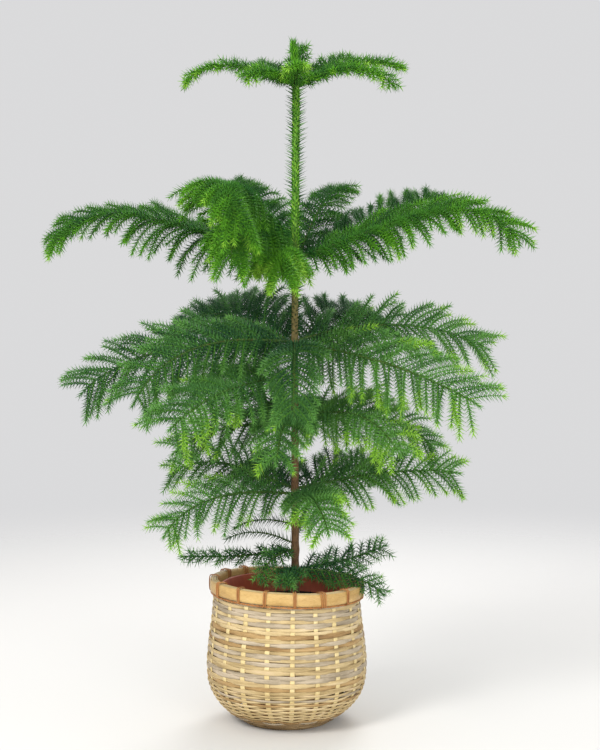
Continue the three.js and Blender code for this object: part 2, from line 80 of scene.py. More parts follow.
# A bough: azimuth, drop below the tier, length, angle at the trunk, angle at the tip, how late it bends, how
# far it swings round in plan, and the tone of its green: its freshness, with painted light and shade on top,
# darker on the boughs at the back and lighter in front and on the low boughs that the tiers above shade.
Bough = namedtuple("Bough", "azimuth drop length rise droop bend swing fresh")
BOUGHS = {
    "crown": [
        (182, 0, 168, 22, -66, 2.6, 0, 2.8), (226, -3, 100, 14, -50, 2.4, 0, 2.8),
        (272, 3, 118, 16, -22, 2.4, 0, 3.1), (333, -3, 160, 14, -52, 2.2, 0, 2.8),
        (4, 3, 160, 27, -26, 2.2, 0, 2.5), (46, -3, 122, 30, 4, 2.2, -8, 2.1),
        (80, 0, 78, 60, 36, 2.4, 0, 2.0), (121, 3, 126, 30, 2, 2.2, 8, 2.1)],
    "upper": [
        (178, 4, 376, 21, -60, 3.6, 0, 2.2), (340, -4, 348, 20, -70, 4.0, 0, 2.7),
        (26, -4, 290, 26, -8, 4.0, 12, 1.8), (72, 4, 225, 40, 5, 4.0, -14, 1.7),
        (122, -4, 270, 36, -10, 4.0, -16, 1.7)],
    "dome": [
        (222, -4, 328, 46, -64, 1.7, 85, 2.4), (237, 0, 265, 32, -58, 1.6, 36, 2.4),
        (258, 4, 205, 18, -42, 1.4, 20, 3.2)],
    "broad": [
        (187, 4, 318, 4, -46, 2.0, 0, 2.0), (214, -2, 285, 5, -64, 2.0, 0, 2.3),
        (270, 0, 212, 0, -66, 1.3, 0, 2.2), (321, 2, 318, -4, -26, 1.3, 0, 3.2),
        (5, -4, 284, 15, -30, 1.5, 0, 2.8), (62, 4, 262, 26, -34, 2.0, -14, 2.0),
        (117, -4, 266, 22, -16, 2.0, 12, 1.9), (150, 0, 236, 26, -50, 2.0, 0, 1.9)],
    "under": [
        (235, 0, 288, -2, -30, 2.0, 0, 2.9)],
    "middle": [
        (12, 4, 228, 14, -54, 1.6, 0, 2.9), (92, 4, 215, 15, -34, 2.0, 0, 2.1),
        (146, -4, 185, 26, -24, 2.0, 0, 2.0), (193, 4, 182, 2, -44, 2.0, 0, 2.8),
        (262, -4, 194, 6, -56, 2.0, 0, 2.7), (312, -4, 225, 12, -56, 2.0, 0, 3.2)],
    "lower": [
        (163, -4, 198, 22, -38, 2.2, 0, 2.6), (204, 4, 212, 6, -60, 2.2, 0, 3.1),
        (283, 4, 205, 6, -38, 2.0, 0, 3.2), (357, -4, 232, 12, -8, 2.2, 0, 3.2),
        (50, 4, 205, 18, -26, 2.2, 0, 2.1), (112, 0, 205, 18, -28, 2.2, 0, 2.1)],
    "skirt": [
        (177, 0, 160, -8, 2, 1.6, 0, 1.9), (238, 0, 98, 4, -64, 1.6, 0, 2.0)],
    "foot": [
        (262, 0, 100, 8, -24, 1.6, 0, 2.0), (346, 0, 132, 2, -40, 1.6, 0, 2.0),
        (27, 0, 148, 2, 16, 1.6, 0, 1.9)],
}


# Directions, lines and chance

def unit(v):
    return v / np.maximum(np.linalg.norm(v, axis=-1, keepdims=True), TINY)


def full_turn(steps):
    return np.linspace(0, TURN, steps, endpoint=False)


def ring_points(angle, radius, height):
    return np.stack([radius * np.cos(angle), radius * np.sin(angle), height * np.ones_like(angle)], -1)


def radial(angle):
    """Directions out from the axis."""
    return ring_points(angle, 1.0, 0.0)


def clockwise(angle):
    """Directions clockwise round the axis, as seen from above."""
    return np.stack([np.sin(angle), -np.cos(angle), 0 * angle], -1)


def upright(count):
    return np.tile(UP, (count, 1))


def toward(a, b, angle):
    """Directions turned from a towards b by an angle."""
    angle = np.asarray(angle)[..., None]
    return a * np.cos(angle) + b * np.sin(angle)


def lookup(where, grid, table):
    """Rows of a table at places on a grid, or between its rows."""
    return np.stack([np.interp(where, grid, column) for column in table.T], -1)


def catmull(points, steps):
    """Points along a uniform spline through the given ones."""
    p = np.asarray(points, dtype=float)
    p = np.concatenate([[2 * p[0] - p[1]], p, [2 * p[-1] - p[-2]]])
    t = np.linspace(0, 1, steps, endpoint=False)[:, None]
    out = []
    for a, b, c, d in zip(p, p[1:], p[2:], p[3:]):
        out.append(0.5 * (2 * b + (c - a) * t + (2 * a - 5 * b + 4 * c - d) * t ** 2
                          + (3 * b - a - 3 * c + d) * t ** 3))
    return np.concatenate(out + [p[-2:-1]])


def jitter(generator, spread, shape=None):
    """A random value, or an array of them, within half the spread of 0."""
    return spread * (generator.random(shape) - 0.5)


def smooth_noise(shape, blur, generator):
    """Random relief from -1 to 1, blurred twice by boxes; the second axis wraps round."""
    field = generator.random(shape) * 2 - 1
    steps = range(-blur, blur + 1)
    for _ in range(2):
        rows = np.arange(shape[0])
        field = sum(field[np.clip(rows + step, 0, shape[0] - 1)] for step in steps) / len(steps)
        field = sum(np.roll(field, step, 1) for step in steps) / len(steps)
    return field / np.abs(field).max()


# Meshes

FLIPPED = [0, 2, 1]
UV_PER_MM = 0.1


def grid_faces(rows, columns, wrap_rows=False, wrap_columns=True):
    """Quads of a grid of points: on by a row, on by a column, and back."""
    i, j = np.meshgrid(np.arange(rows if wrap_rows else rows - 1),
                       np.arange(columns if wrap_columns else columns - 1), indexing="ij")
    i2, j2 = (i + 1) % rows, (j + 1) % columns
    corners = [i * columns + j, i2 * columns + j, i2 * columns + j2, i * columns + j2]
    return np.stack(corners, -1).reshape(-1, 4)


def in_triangles(quads):
    return np.concatenate([quads[:, [0, 1, 2]], quads[:, [0, 2, 3]]])


def fan(centre, ring):
    """Triangles from a centre point to a closed ring of points."""
    return np.stack([np.full(len(ring), centre), ring, np.roll(ring, -1)], -1)


def put(name, data):
    """A new object in the scene."""
    thing = bpy.data.objects.new(name, data)
    bpy.context.scene.collection.objects.link(thing)
    return thing


def add_mesh(name, verts, faces, material, uv=None):
    """A piece from vertices in millimetres and faces of one length; uv is one pair per face corner."""
    faces = np.asarray(faces, dtype=np.int32)
    mesh = bpy.data.meshes.new(name)
    mesh.vertices.add(len(verts))
    mesh.vertices.foreach_set("co", (np.asarray(verts, dtype=np.float64) * MM).astype(np.float32).ravel())
    mesh.loops.add(faces.size)
    mesh.loops.foreach_set("vertex_index", faces.ravel())
    mesh.polygons.add(len(faces))
    mesh.polygons.foreach_set("loop_start", np.arange(0, faces.size, faces.shape[1], dtype=np.int32))
    mesh.polygons.foreach_set("use_smooth", np.full(len(faces), True))
    if uv is not None:
        layer = mesh.uv_layers.new(name="strand")
        layer.data.foreach_set("uv", np.asarray(uv, dtype=np.float32).ravel())
    mesh.update(calc_edges=True)
    mesh.validate()
    mesh.materials.append(material)
    piece = put(name, mesh)
    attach(piece, "root")
    return piece


class Batch:
    """Collects swept strands that share a material, to be joined in one mesh."""

    def __init__(self):
        self.verts, self.faces, self.uvs, self.count = [], [], [], 0

    def add(self, verts, faces, uv):
        self.verts.append(verts)
        self.faces.append(faces + self.count)
        self.uvs.append(uv)
        self.count += len(verts)

    def make(self, name, material, slot):
        return add_mesh(name, np.concatenate(self.verts), np.concatenate(self.faces), material,
                        np.concatenate(self.uvs))


def sweep(batch, points, across, outward, section, scale=1.0, closed=False):
    """Sweeps a section of (across, outward) pairs along points, as quads, with caps unless it is closed.

    scale is one number, one for each point, one for each vertex of each ring, or has a last axis for the two
    directions of the section.
    """
    n, m = len(points), len(section)
    size = np.asarray(scale, dtype=float)
    section = np.asarray(section, dtype=float) * size.reshape(size.shape + (1,) * (3 - size.ndim))
    verts = (points[:, None, :] + section[..., :1] * across[:, None, :]
             + section[..., 1:] * outward[:, None, :]).reshape(-1, 3)
    faces = grid_faces(n, m, wrap_rows=closed)
    steps = np.linalg.norm(np.diff(points, axis=0, append=points[:1] if closed else points[-1:]), axis=1)
    along = np.concatenate([[0], np.cumsum(steps)]) * UV_PER_MM
    i, j = np.meshgrid(np.arange(n if closed else n - 1), np.arange(m), indexing="ij")
    corners = ((0, 0), (1, 0), (1, 1), (0, 1))
    uv = np.stack([np.stack([along[i + on], (j + round_by) / m], -1) for on, round_by in corners], 2)
    uv = uv.reshape(-1, 2)
    if not closed:
        # each end ring is drawn together on a centre point
        first, tail = np.arange(0, m, 2), (n - 1) * m
        start = np.stack([np.full(len(first), n * m), first, first + 1, (first + 2) % m], -1)
        end = start[:, [0, 3, 2, 1]] + [1, tail, tail, tail]
        verts = np.concatenate([verts, points[:1], points[-1:]])
        faces = np.concatenate([faces, start, end])
        uv = np.concatenate([uv, np.zeros((2 * start.size, 2))])
    batch.add(verts, faces, uv)


def oval(half_width, half_thick, count=8, power=1.0):
    """Section points round a strip or rod, turning from across towards inward; a low power squares it."""
    angle = full_turn(count) + math.pi / count
    c, s = np.cos(angle), np.sin(angle)
    return np.stack([half_width * np.sign(c) * np.abs(c) ** power,
                     -half_thick * np.sign(s) * np.abs(s) ** power], -1)


# Materials

# the height where the bark is oldest, and the colour sockets of a mix node
OLD_BARK = 178.0
MIX_COLOUR_A, MIX_COLOUR_B, MIX_COLOUR_OUT = 6, 7, 2


class Surface:
    """A material with its shader and the nodes that drive it."""

    def __init__(self, name, colour, roughness, specular=0.5):
        self.material = bpy.data.materials.new(name)
        self.material.use_nodes = True
        self.nodes, self.links = self.material.node_tree.nodes, self.material.node_tree.links
        self.shader = self.nodes["Principled BSDF"]
        self.feed(self.shader, Base_Color=(*colour, 1), Roughness=roughness, Specular_IOR_Level=specular)

    def feed(self, node, **inputs):
        """Sets a node's inputs to values, or links them to other nodes' outputs."""
        for name, value in inputs.items():
            socket = node.inputs[name.replace("_", " ")]
            if isinstance(value, bpy.types.NodeSocket):
                self.links.new(value, socket)
            else:
                socket.default_value = value

    def add(self, kind, **inputs):
        node = self.nodes.new("ShaderNode" + kind)
        self.feed(node, **inputs)
        return node

    def place(self, kind="Object"):
        return self.add("TexCoord").outputs[kind]

    def noise(self, scale, place="Object", stretch=(1, 1, 1), detail=4.0, rough=0.55):
        mapping = self.add("Mapping", Vector=self.place(place), Scale=stretch)
        source = mapping.outputs["Vector"]
        return self.add("TexNoise", Vector=source, Scale=scale, Detail=detail, Roughness=rough).outputs["Fac"]

    def ramp(self, source, stops):
        """Colours by a value from 0 to 1; stops are pairs of place and colour."""
        node = self.add("ValToRGB", Fac=source)
        elements = node.color_ramp.elements
        while len(elements) < len(stops):
            elements.new(0.5)
        for element, (place, colour) in zip(elements, stops):
            element.position = place
            element.color = (*colour, 1)
        return node.outputs["Color"]

    def coat(self, colour, height, strength, distance):
        """Gives the shader its colour and relief."""
        bump = self.add("Bump", Height=height, Strength=strength, Distance=distance)
        self.feed(self.shader, Base_Color=colour, Normal=bump.outputs["Normal"])
        return self.material


def cane_material(name, roughness, stops, fibre=0.3, patch=18.0, layers=9.0):
    """Split bamboo or rattan: tones that drift along each strip, with fine fibres along it."""
    surface = Surface(name, stops[0][1], roughness, specular=0.35)
    drift = surface.noise(patch, stretch=(1, 1, layers), rough=0.6)
    fibres = surface.noise(6.0, "UV", stretch=(0.35, 7, 1), detail=5.0, rough=0.7)
    blend = surface.add("Mix", Factor=fibre, A=drift, B=fibres)
    colour = surface.ramp(blend.outputs["Result"], stops)
    return surface.coat(colour, fibres, strength=0.5, distance=0.0006)


def grained_material(name, roughness, stops, scale, strength, distance, specular=0.5, **grain):
    """A surface whose tones and relief come from one grain: young bark, moulded plastic or soil."""
    surface = Surface(name, stops[0][1], roughness, specular)
    height = surface.noise(scale, **grain)
    return surface.coat(surface.ramp(height, stops), height, strength, distance)


def bark_material():
    """Trunk bark: brown and flaky from the foot, olive above and green on the leader."""
    surface = Surface("trunk_bark", (0.16, 0.08, 0.03), roughness=0.85)
    level = surface.add("SeparateXYZ", Vector=surface.place()).outputs["Z"]
    height = surface.add("MapRange", Value=level, From_Min=OLD_BARK * MM, From_Max=TRUNK_TIP * MM)
    ages = surface.ramp(height.outputs["Result"], [
        (0.0, (0.11, 0.055, 0.022)), (0.3, (0.17, 0.09, 0.036)), (0.42, (0.175, 0.115, 0.045)),
        (0.52, (0.165, 0.14, 0.04)), (0.6, (0.13, 0.19, 0.032)), (0.7, (0.12, 0.29, 0.028))])
    flakes = surface.noise(420.0, stretch=(1, 1, 0.45), detail=6.0, rough=0.65)
    tone = surface.ramp(flakes, [
        (0.3, (0.45, 0.42, 0.4)), (0.55, (1.0, 1.0, 1.0)), (0.75, (1.5, 1.4, 1.25))])
    mix = surface.add("Mix", Factor=1.0)
    mix.data_type = "RGBA"
    mix.blend_type = "MULTIPLY"
    surface.links.new(ages, mix.inputs[MIX_COLOUR_A])
    surface.links.new(tone, mix.inputs[MIX_COLOUR_B])
    return surface.coat(mix.outputs[MIX_COLOUR_OUT], flakes, strength=0.8, distance=0.0012)


def floor_material():
    """A pale floor that fades into the background away from the plant."""
    surface = Surface("floor_pale", (0.74, 0.73, 0.71), roughness=0.8)
    away = surface.add("VectorMath", Vector=surface.place())
    away.operation = "LENGTH"
    fade = surface.add("MapRange", Value=away.outputs["Value"], From_Min=0.7, From_Max=2.4, To_Min=1.0,
                       To_Max=0.0)
    fade.interpolation_type = "SMOOTHSTEP"
    surface.feed(surface.shader, Alpha=fade.outputs["Result"])
    return surface.material


WEAVER_STOPS = (0.3, 0.43, 0.55, 0.7)
WEAVERS = {}
for tone, roughness, *colours in [
        ("straw", 0.55, (0.29, 0.2, 0.09), (0.48, 0.35, 0.165), (0.6, 0.46, 0.24), (0.7, 0.56, 0.37)),
        ("tan", 0.6, (0.21, 0.14, 0.065), (0.39, 0.28, 0.125), (0.53, 0.4, 0.2), (0.62, 0.47, 0.3)),
        ("grey", 0.65, (0.19, 0.15, 0.095), (0.32, 0.255, 0.17), (0.46, 0.375, 0.26), (0.62, 0.5, 0.37)),
        ("brown", 0.6, (0.15, 0.08, 0.03), (0.28, 0.165, 0.06), (0.42, 0.27, 0.11), (0.54, 0.39, 0.2))]:
    WEAVERS[tone] = cane_material(f"{tone}_bamboo", roughness, list(zip(WEAVER_STOPS, colours)))
STAKE = cane_material("stake_bamboo", 0.5, [
    (0.3, (0.5, 0.36, 0.15)), (0.5, (0.68, 0.54, 0.26)), (0.7, (0.77, 0.64, 0.36))], patch=26.0, layers=1.5)
HOOP = cane_material("rim_bamboo", 0.42, [
    (0.3, (0.27, 0.15, 0.045)), (0.42, (0.45, 0.27, 0.085)), (0.55, (0.58, 0.38, 0.14)),
    (0.72, (0.68, 0.48, 0.2))], fibre=0.45, patch=22.0, layers=2.5)
LASH = cane_material("lashing_rattan", 0.45, [
    (0.3, (0.2, 0.07, 0.018)), (0.5, (0.4, 0.165, 0.045)), (0.7, (0.55, 0.27, 0.085))],
    fibre=0.4, patch=60.0, layers=1.0)
FOOT_CANE = cane_material("foot_cane", 0.6, [
    (0.3, (0.1, 0.06, 0.025)), (0.5, (0.22, 0.14, 0.06)), (0.7, (0.4, 0.28, 0.14))])
PLASTIC = grained_material("pot_plastic", 0.5, [
    (0.3, (0.33, 0.055, 0.018)), (0.6, (0.45, 0.085, 0.03)), (0.8, (0.52, 0.14, 0.065))],
    scale=60.0, strength=0.15, distance=0.0005, stretch=(1, 1, 0.4), detail=5.0)
SOIL = grained_material("potting_soil", 0.95, [
    (0.3, (0.008, 0.005, 0.004)), (0.55, (0.024, 0.013, 0.008)), (0.75, (0.075, 0.042, 0.024))],
    scale=260.0, strength=1.0, distance=0.003, detail=7.0, rough=0.7)
BARK = bark_material()
YOUNG_BARK = {"strength": 0.5, "distance": 0.0006, "specular": 0.25, "detail": 5.0, "rough": 0.65}
LIMB = grained_material("bough_bark", 0.65, [
    (0.32, (0.035, 0.07, 0.013)), (0.5, (0.06, 0.125, 0.018)), (0.68, (0.1, 0.1, 0.03))],
    scale=130.0, **YOUNG_BARK)
TWIG = grained_material("twig_green", 0.65, [
    (0.3, (0.05, 0.17, 0.018)), (0.5, (0.085, 0.25, 0.022)), (0.7, (0.13, 0.31, 0.03))],
    scale=90.0, **YOUNG_BARK)
# Tints of needles, each with its colour and the finish it takes in the part's record
TINTS = [
    ("needles_deep", (0.009, 0.05, 0.012), "foliage_lower"),
    ("needles_shade", (0.02, 0.1, 0.017), "foliage_upper"),
    ("needles_leaf", (0.052, 0.195, 0.017), "foliage_upper"),
    ("needles_fresh", (0.11, 0.345, 0.017), "foliage_crown"),
    # lime at the tips: young growth, and partly painted light for the glow of light through the needles
    ("needles_lime", (0.29, 0.58, 0.05), "foliage_crown"),
    ("needles_cool_shade", (0.026, 0.1, 0.034), "foliage_lower"),
    ("needles_cool_leaf", (0.066, 0.2, 0.046), "foliage_broad"),
    ("needles_cool_fresh", (0.135, 0.345, 0.07), "foliage_broad"),
]
# tints from dark to light: the yellow greens of the young tiers and the cooler greens below them
WARM, COOL = (0, 1, 2, 3, 4), (0, 5, 6, 7, 4)


# Basket

# the middle of the weave runs from near the centre of the base out to the foot and up the wall, this far
# inside the basket's face
WEAVE_IN = 2.6
BASE_LINE = [(7.0, 4.4), (30.0, 4.4), (50.0, 4.3), (58.0, 4.3)]
WALL_LOW = 4.8
PROFILE_STEPS = 40
SLOPE_STEP = 2.0
wall = catmull(BASKET_PROFILE, PROFILE_STEPS) - [WEAVE_IN, 0]
wall = wall[wall[:, 1] > WALL_LOW]
meridian = np.concatenate([BASE_LINE, wall])
run = np.concatenate([[0], np.cumsum(np.linalg.norm(np.diff(meridian, axis=0), axis=1))])
BASE_RUN = run[len(BASE_LINE) - 1]


def dipped(points):
    """Lowers points to the right, the more the nearer they are to the basket's mouth."""
    points = np.array(points, dtype=float)
    points[..., 2] -= MOUTH_DIP * points[..., 0] * np.clip(points[..., 2] / BASKET_HEIGHT, 0, None) ** 2
    return points


def run_at_height(height):
    """How far along the weave its wall has a height."""
    return float(np.interp(height, wall[:, 1], run[-len(wall):]))


def on_wall(angle, place, off):
    """Points at runs along the weave, set off outwards, with the outward and upward directions there."""
    def at(where):
        return lookup(where, run, meridian).T

    r, z = at(place)
    dr, dz = at(np.minimum(place + SLOPE_STEP, run[-1])) - at(np.maximum(place - SLOPE_STEP, 0))
    nr, nz = dz / np.hypot(dr, dz), -dr / np.hypot(dr, dz)
    points = ring_points(angle, r + nr * off, z + nz * off)
    outward = radial(angle) * nr[:, None] + UP * nz[:, None]
    upward = radial(angle) * -nz[:, None] + UP * nr[:, None]
    return points, outward, upward


rng = np.random.default_rng(20261)
STAKES = 20
STAKE_START, STAKE_DRIFT = 0.22, 0.16
stake_angles = TURN * (np.arange(STAKES) + STAKE_START + jitter(rng, STAKE_DRIFT, STAKES)) / STAKES
wrapped = np.concatenate([stake_angles[-2:] - TURN, stake_angles, stake_angles[:2] + TURN])

# A kind of weaver: the height it is used up to, its least half width, how much that varies, how far it laps
# its neighbours, half its thickness, its swing in and out, the sides and squareness of its section, and the
# chances of straw, tan, grey and brown.
Weaver = namedtuple("Weaver", "top half vary lap thick swing sides power chances")
CANE = Weaver(60, 1.6, 0.35, 1.06, 1.15, 1.25, 6, 0.9, (0.42, 0.36, 0.08, 0.14))
STRIP = Weaver(192, 2.25, 0.95, 1.12, 0.75, 1.0, 8, 0.55, (0.26, 0.28, 0.34, 0.12))
BASE_CANE = CANE._replace(half=2.0, thick=1.1, swing=1.2)
BASE_START, BASE_PITCH, BASE_MARGIN = 6.0, 4.7, 2.0
WALL_START = 5.0
THIN_TOP = run_at_height(CANE.top)
# the lowest rows of the wall are of the foot's dark cane, and those next above are browner than the rest
FOOT_BAND, FOOT_BLEND = 22.0, 35.2
FOOT_CHANCES = (0.1, 0.3, 0.2, 0.4)
STEPS_PER_STAKE = 8
ROW_SEAT = 0.9
SWING_POWER = 0.7


def plan_rows():
    """Rows of weavers up the weave: run along it, half width and kind."""
    rows = [(place, BASE_CANE.half, BASE_CANE)
            for place in np.arange(BASE_START, BASE_RUN - BASE_MARGIN, BASE_PITCH)]
    place = BASE_RUN + WALL_START
    for kind in (CANE, STRIP):
        while place < run_at_height(kind.top):
            half = kind.half + kind.vary * rng.random()
            rows.append((place + half, kind.lap * half, kind))
            place += 2 * half
    return rows


def crossing(angle):
    """1 at every even stake and -1 at every odd one, swinging between."""
    return np.cos(math.pi * np.interp(angle, wrapped, np.arange(-2, STAKES + 2)))


def ripple(angle, size, least, waves):
    """A random sum of waves round the basket."""
    return sum(size * (least + rng.random()) * np.sin(k * angle + TURN * rng.random()) for k in waves)


def weave_rows(rows):
    """Weavers that pass over and under the stakes by turns, in a batch for each tone."""
    batches = {tone: Batch() for tone in (*WEAVERS, "foot")}
    angle = full_turn(STAKES * STEPS_PER_STAKE)
    for number, (place, half, kind) in enumerate(rows):
        up_wall = place - BASE_RUN
        wander = ripple(angle, size=0.16, least=0.3, waves=(1, 2, 3, 5, 9))
        # each row lies a little high or low at every stake
        seat = jitter(rng, ROW_SEAT, STAKES)
        wander = wander + np.interp(angle, stake_angles, seat, period=TURN)
        over = crossing(angle) * (1 if number % 2 else -1)
        off = kind.swing * np.sign(over) * np.abs(over) ** SWING_POWER
        points, outward, upward = on_wall(angle, place + wander * (up_wall > 0), off)
        width = 1 + ripple(angle, size=0.07, least=0, waves=(1, 2, 4, 7))
        chances = FOOT_CHANCES if 0 < up_wall < FOOT_BLEND else kind.chances
        tone = rng.choice(list(WEAVERS), p=chances)
        if 0 < up_wall < FOOT_BAND:
            tone = "foot"
        section = oval(half, kind.thick, kind.sides, kind.power)
        sweep(batches[tone], dipped(points), upward, outward, section, width, closed=True)
    return batches


STAKE_HALF, STAKE_HALF_THICK = 3.6, 0.62
STAKE_RUN, STAKE_TOP, STAKE_STEP = 2.0, 198, 2.4
STAKE_SWING = 0.55
STAKE_LEAN, LEAN_WAVE = 0.012, 60
STAKE_WIDTHS = [(0, 0.35), (BASE_RUN, 0.8), (BASE_RUN + 40, 0.95), (THIN_TOP, 1.05), (run[-1], 0.95)]


def make_stakes(rows):
    """Strips from the middle of the base up the wall, which lean the other way from each weaver they pass."""
    stakes = Batch()
    row_runs = [row[0] for row in rows]
    row_signs = np.where(np.arange(len(rows)) % 2, 1.0, -1.0)
    places = np.arange(STAKE_RUN, run_at_height(STAKE_TOP), STAKE_STEP)
    for k, angle in enumerate(stake_angles):
        off = np.interp(places, row_runs, row_signs) * STAKE_SWING * (1 if k % 2 else -1)
        turn = angle + STAKE_LEAN * math.sin(5.1 * k) * np.sin(places / LEAN_WAVE + k)
        points, outward, _ = on_wall(turn, places, off)
        # width swells and thins along the stake while its thickness stays
        width = np.interp(places, *zip(*STAKE_WIDTHS)) * (1 + jitter(rng, 0.14))
        scale = np.stack([width, np.ones(len(width))], -1)[:, None, :]
        section = oval(STAKE_HALF, STAKE_HALF_THICK, STRIP.sides, STRIP.power)
        sweep(stakes, dipped(points), clockwise(turn), outward, section, scale)
    stakes.make("basket_stakes", STAKE, "basket_weave")


def twisted_ring(batch, radius, height, strands, twists, offset, half, steps):
    """Strands of cane twisted round each other along a ring."""
    angle = full_turn(steps)
    for k in range(strands):
        twist = twists * angle + k * TURN / strands
        points = ring_points(angle, radius + offset * np.cos(twist), height + offset * np.sin(twist))
        sweep(batch, dipped(points), upright(steps), radial(angle), oval(half, half, 6), closed=True)


weaver_rows = plan_rows()
weave = weave_rows(weaver_rows)
weaver_pieces = {tone: weave[tone].make(f"basket_weavers_{tone}", material, "basket_weave")
                 for tone, material in WEAVERS.items()}
make_stakes(weaver_rows)
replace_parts(weaver_pieces["straw"], "basket_body")
# the ring the basket stands on
twisted_ring(weave["foot"], radius=60.5, height=2.9, strands=3, twists=34, offset=1.35, half=1.5, steps=420)
weave["foot"].make("basket_foot_ring", FOOT_CANE, "basket_weave")


# Rim

HOOP_OUT = float(np.interp(RIM_TOP - RIM_HEIGHT, wall[:, 1], wall[:, 0])) + WEAVE_IN + 0.4
HOOP_IN = float(wall[-1, 0]) + WEAVE_IN - 5.2
HOOP_HALF, HOOP_BELOW = 8.4, 1.2
INNER_HALF, INNER_THICK, INNER_HIGHER = 8.2, 2.4, 0.6
HOOP_STEPS = 240
# filler canes between the hoops: how far inside the outer hoop, and how high
FILLERS = [(0.9, -2.2), (4.3, -1.8)]
RIM_LOW = RIM_TOP - RIM_HEIGHT + 2.6


def rim_sway(angle):
    """How the hand-made rim rises and falls round the basket."""
    return 0.35 * np.sin(3 * angle + 1) + 0.25 * np.sin(7 * angle)


def hoop_section(half, thick):
    """A strip of split bamboo: nearly flat inside, crowned outside, with eased edges."""
    outline = [(1, -0.1), (0.93, -0.5), (-0.93, -0.5), (-1, -0.1), (-0.97, 0.22), (-0.6, 0.44), (0, 0.5),
               (0.6, 0.44), (0.97, 0.22)]
    return np.array(outline) * (half, thick)


def make_hoops():
    hoops, fillers = Batch(), Batch()
    angle = full_turn(HOOP_STEPS)
    sway, tall, out = rim_sway(angle), upright(HOOP_STEPS), radial(angle)
    middle = RIM_TOP - HOOP_BELOW - HOOP_HALF + sway
    outer = ring_points(angle, HOOP_OUT + RIM_THICK / 2 + 0.15 * sway, middle)
    sweep(hoops, dipped(outer), tall, out, hoop_section(HOOP_HALF, RIM_THICK), closed=True)
    inner = ring_points(angle, HOOP_IN - INNER_THICK / 2, middle + INNER_HIGHER)
    sweep(hoops, dipped(inner), -tall, -out, hoop_section(INNER_HALF, INNER_THICK), closed=True)
    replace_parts(hoops.make("rim_hoops", HOOP, "rim_bamboo"), "basket_rim")
    for k, (inset, rise) in enumerate(FILLERS):
        wave = 0.12 * np.sin(11 * angle + 2 * k)
        cane = ring_points(angle, HOOP_OUT - inset + wave, RIM_TOP + rise + sway)
        sweep(fillers, dipped(cane), tall, out, oval(1.3, 1.9), closed=True)
    fillers.make("rim_filler_canes", WEAVERS["straw"], "rim_bamboo")


def lashing_loop():
    """Radius and height round the hoops, up outside, over the top, down inside and back under them."""
    outer, inner = HOOP_OUT + RIM_THICK + 0.75, HOOP_IN - 3.0
    between = 0.5 * (outer + inner)
    loop = [(outer, RIM_LOW + 1.5), (outer + 0.35, RIM_LOW + 7), (outer + 0.4, RIM_TOP - 9),
            (outer, RIM_TOP - 2), (outer - 1.6, RIM_TOP + 0.7), (between, RIM_TOP + 1.2),
            (inner + 1.6, RIM_TOP + 0.7), (inner, RIM_TOP - 2), (inner - 0.2, RIM_TOP - 10),
            (inner, RIM_LOW + 3), (inner + 1.4, RIM_LOW - 0.6), (between, RIM_LOW - 1.2),
            (outer - 1.4, RIM_LOW - 0.7)]
    return catmull(loop + loop[:1], 4)[:-1].T


LASHING_PITCH, LASHING_VARY, LASHING_START = 18, 11, 182
LAST_GAP = 4
TWO_STRANDS = 0.7
STRAND_STEP, STRAND_VARY = 0.022, 0.008
LASHING_SLANT = 0.035


def make_lashings():
    """Cane wound round the rim in twos and threes, at uneven places, and twine along its lower edge."""
    lashings = Batch()
    chance = np.random.default_rng(77)
    places = np.cumsum(LASHING_PITCH + LASHING_VARY * chance.random(RIM_LASHINGS))
    radius, level = lashing_loop()
    height = (level - RIM_LOW) / (RIM_TOP - RIM_LOW)
    for turn in np.radians(places * 360 / (places[-1] + LAST_GAP) + LASHING_START):
        strands = 2 if chance.random() < TWO_STRANDS else 3
        slant = jitter(chance, LASHING_SLANT)
        for strand in range(strands):
            step = (strand - (strands - 1) / 2) * (STRAND_STEP + STRAND_VARY * chance.random())
            # the strands spread a little towards the top
            at = turn + step * (1 + 0.25 * (height - 0.5)) + slant * height
            points = dipped(ring_points(at, radius, level + rim_sway(at) * np.clip(height, 0, 1)))
            ahead = unit(np.roll(points, -1, 0) - np.roll(points, 1, 0))
            outward = unit(np.cross(ahead, clockwise(at)))
            sweep(lashings, points, clockwise(at), outward, oval(1.0, 0.62, 6, 0.8), closed=True)
    twisted_ring(lashings, HOOP_OUT + 1.2, RIM_LOW - 0.6, strands=2, twists=46, offset=0.75, half=0.85,
                 steps=200)
    lashings.make("rim_lashings", LASH, "rim_bamboo")


make_hoops()
make_lashings()


# Nursery pot and soil

POT_TOP = POT_FLOOR_Z + POT_HEIGHT
POT_LIP = POT_TOP - POT_LIP_HEIGHT
POT_SEGMENTS = 96
SOIL_CLEAR = 0.5
SOIL_RINGS, SOIL_TURNS = 46, 120
CRUMBS = 520
CRUMB_MARGIN = 5.0


def turned(name, profile, segments, material):
    """Turns a profile of (radius, height) that starts and ends on the axis."""
    profile = np.asarray(profile, dtype=float)
    radius, height = profile[1:-1].T
    m = len(radius)
    rings = ring_points(full_turn(segments)[:, None] + 0 * radius, radius, height).reshape(-1, 3)
    verts = np.concatenate([rings, [[0, 0, profile[0, 1]], [0, 0, profile[-1, 1]]]])
    wall_faces = in_triangles(grid_faces(segments, m, wrap_rows=True, wrap_columns=False))
    ring = np.arange(segments) * m
    low, high = fan(len(rings), ring)[:, FLIPPED], fan(len(rings) + 1, ring + m - 1)
    return add_mesh(name, verts, np.concatenate([wall_faces, low, high]), material)


